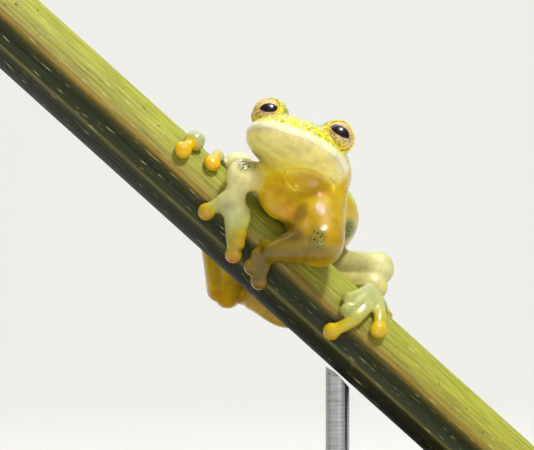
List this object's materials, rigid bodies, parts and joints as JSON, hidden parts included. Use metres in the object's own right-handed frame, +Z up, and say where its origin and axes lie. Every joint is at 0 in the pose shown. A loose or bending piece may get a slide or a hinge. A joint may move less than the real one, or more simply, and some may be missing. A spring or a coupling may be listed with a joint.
{
  "type": "glass frog model",
  "caption": "Life-size glass frog clasping a cut length of green stem with its arms and feet, held above a flat base by short rods.",
  "frame": {"origin": "middle of the base's underside, at the bottom centre of the whole part's box", "axes": "+Z up, -Y to the front, from where the picture is taken, +X to the viewer's right, towards the stem's lower end"},
  "size_m": [0.0464, 0.03, 0.0488],
  "materials": {
    "skin": "moist translucent yellow-green skin",
    "eye": "wet golden iris with a dark level pupil",
    "stem": "fresh green fibrous plant stem, cut square",
    "base": "dark stained and waxed",
    "rod": "fine brushed"
  },
  "bodies": {
    "root": {"torso": "skin", "head": "skin", "eye_left": "eye", "eye_right": "eye", "upper_arm_left": "skin", "upper_arm_right": "skin", "forearm_left": "skin", "forearm_right": "skin", "hand_left": "skin", "hand_right": "skin", "thigh_left": "skin", "thigh_right": "skin", "shank_left": "skin", "shank_right": "skin", "tarsus_left": "skin", "tarsus_right": "skin", "foot_left": "skin", "foot_right": "skin", "perch_stem": "stem", "stand_base": "base", "stand_rod_tall": "rod", "stand_rod_short": "rod"}
  },
  "joints": []
}
